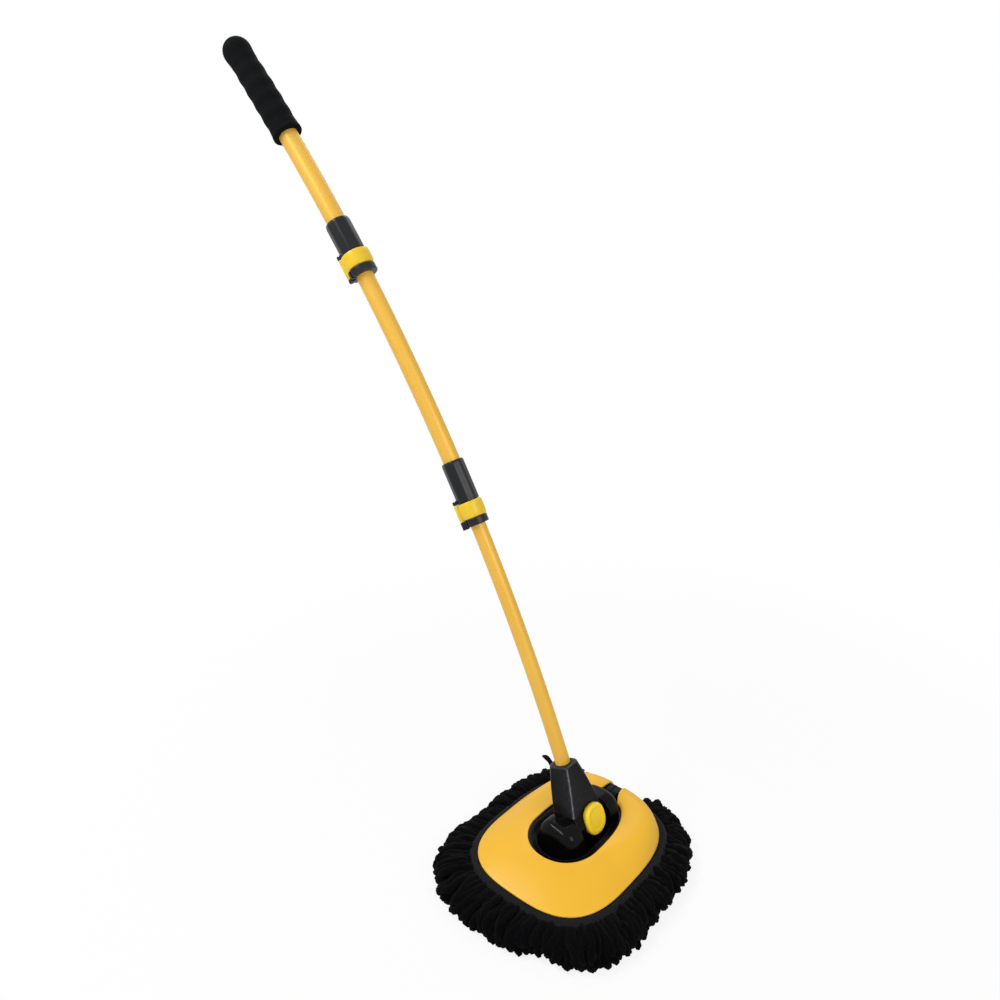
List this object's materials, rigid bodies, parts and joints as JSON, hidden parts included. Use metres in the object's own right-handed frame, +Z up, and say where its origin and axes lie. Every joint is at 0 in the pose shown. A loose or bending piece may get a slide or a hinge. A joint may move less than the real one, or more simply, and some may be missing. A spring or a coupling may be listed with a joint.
{
  "type": "car wash brush",
  "caption": "Chenille car wash mop with a domed cover, a locking tilt hinge and a bent telescopic pole with lever clamps and a foam grip.",
  "frame": {"origin": "on the floor under the middle of the mop head, on the pad's flat underside", "axes": "+Z up, +Y along the head's hinge towards the cover's slot, and the pole leans towards -X"},
  "size_m": [0.7305, 0.2936, 0.9764],
  "materials": {
    "cover_plastic": "golden yellow, satin",
    "lever_plastic": "lemon yellow, satin",
    "button_plastic": "lemon yellow, satin",
    "tube_paint": "gold, soft gloss",
    "black_plastic": "black, glossy",
    "grey_plastic": "grey, matt",
    "foam": "black foam, matt",
    "pile": "black chenille pile",
    "binding": "dark grey tape",
    "steel": "bright"
  },
  "bodies": {
    "mop_head": {"base_plate": "black_plastic", "head_cover": "cover_plastic", "mop_pad": "pile", "mop_hem": "binding", "fringe_front": "pile", "fringe_rear": "pile", "fringe_left": "pile", "fringe_right": "pile", "pivot_pin": "steel", "pin_cap": "black_plastic", "detent_wheel": "grey_plastic", "cover_screw_1": "steel", "cover_screw_2": "steel", "cover_screw_3": "steel", "cover_screw_4": "steel"},
    "neck": {"neck_housing": "black_plastic", "tube_screw": "steel", "lower_tube": "tube_paint", "lower_tube_guide": "grey_plastic", "button_spring_front": "steel", "button_spring_rear": "steel"},
    "button": {"thumb_button": "button_plastic", "lock_yoke": "grey_plastic"},
    "middle_pole": {"middle_tube": "tube_paint", "middle_tube_guide": "grey_plastic", "lower_clamp_sleeve": "black_plastic", "lower_clamp_pin": "steel"},
    "lower_lever": {"lower_clamp_lever": "lever_plastic"},
    "upper_pole": {"upper_tube": "tube_paint", "upper_tube_plug": "black_plastic", "upper_clamp_sleeve": "black_plastic", "upper_clamp_pin": "steel", "foam_grip": "foam"},
    "upper_lever": {"upper_clamp_lever": "lever_plastic"}
  },
  "joints": [
    {"name": "head_tilt", "type": "hinge", "parent": "mop_head", "child": "neck", "pos_m": [0, 0.024, 0.06], "axis": [0, 1, 0], "range_deg": [-45, 85]},
    {"name": "button_press", "type": "slide", "parent": "neck", "child": "button", "axis": [-0.9342, 0, -0.3567], "range_m": [0, 0.0025], "stiffness_N_per_m": 1200, "deforming": ["button_spring_front", "button_spring_rear"]},
    {"name": "lower_slide", "type": "hinge", "parent": "neck", "child": "middle_pole", "pos_m": [-2.44294, 0.024, -0.87287], "axis": [0, 1, 0], "range_deg": [0, 6.57]},
    {"name": "upper_slide", "type": "hinge", "parent": "middle_pole", "child": "upper_pole", "pos_m": [-2.44294, 0.024, -0.87287], "axis": [0, 1, 0], "range_deg": [0, 5.25]},
    {"name": "lower_lever_turn", "type": "hinge", "parent": "middle_pole", "child": "lower_lever", "pos_m": [-0.18958, 0.01247, 0.43113], "axis": [0.5009, 0, -0.8655], "range_deg": [0, 110]},
    {"name": "upper_lever_turn", "type": "hinge", "parent": "upper_pole", "child": "upper_lever", "pos_m": [-0.37675, 0.01141, 0.70934], "axis": [0.608, 0, -0.794], "range_deg": [0, 110]}
  ]
}
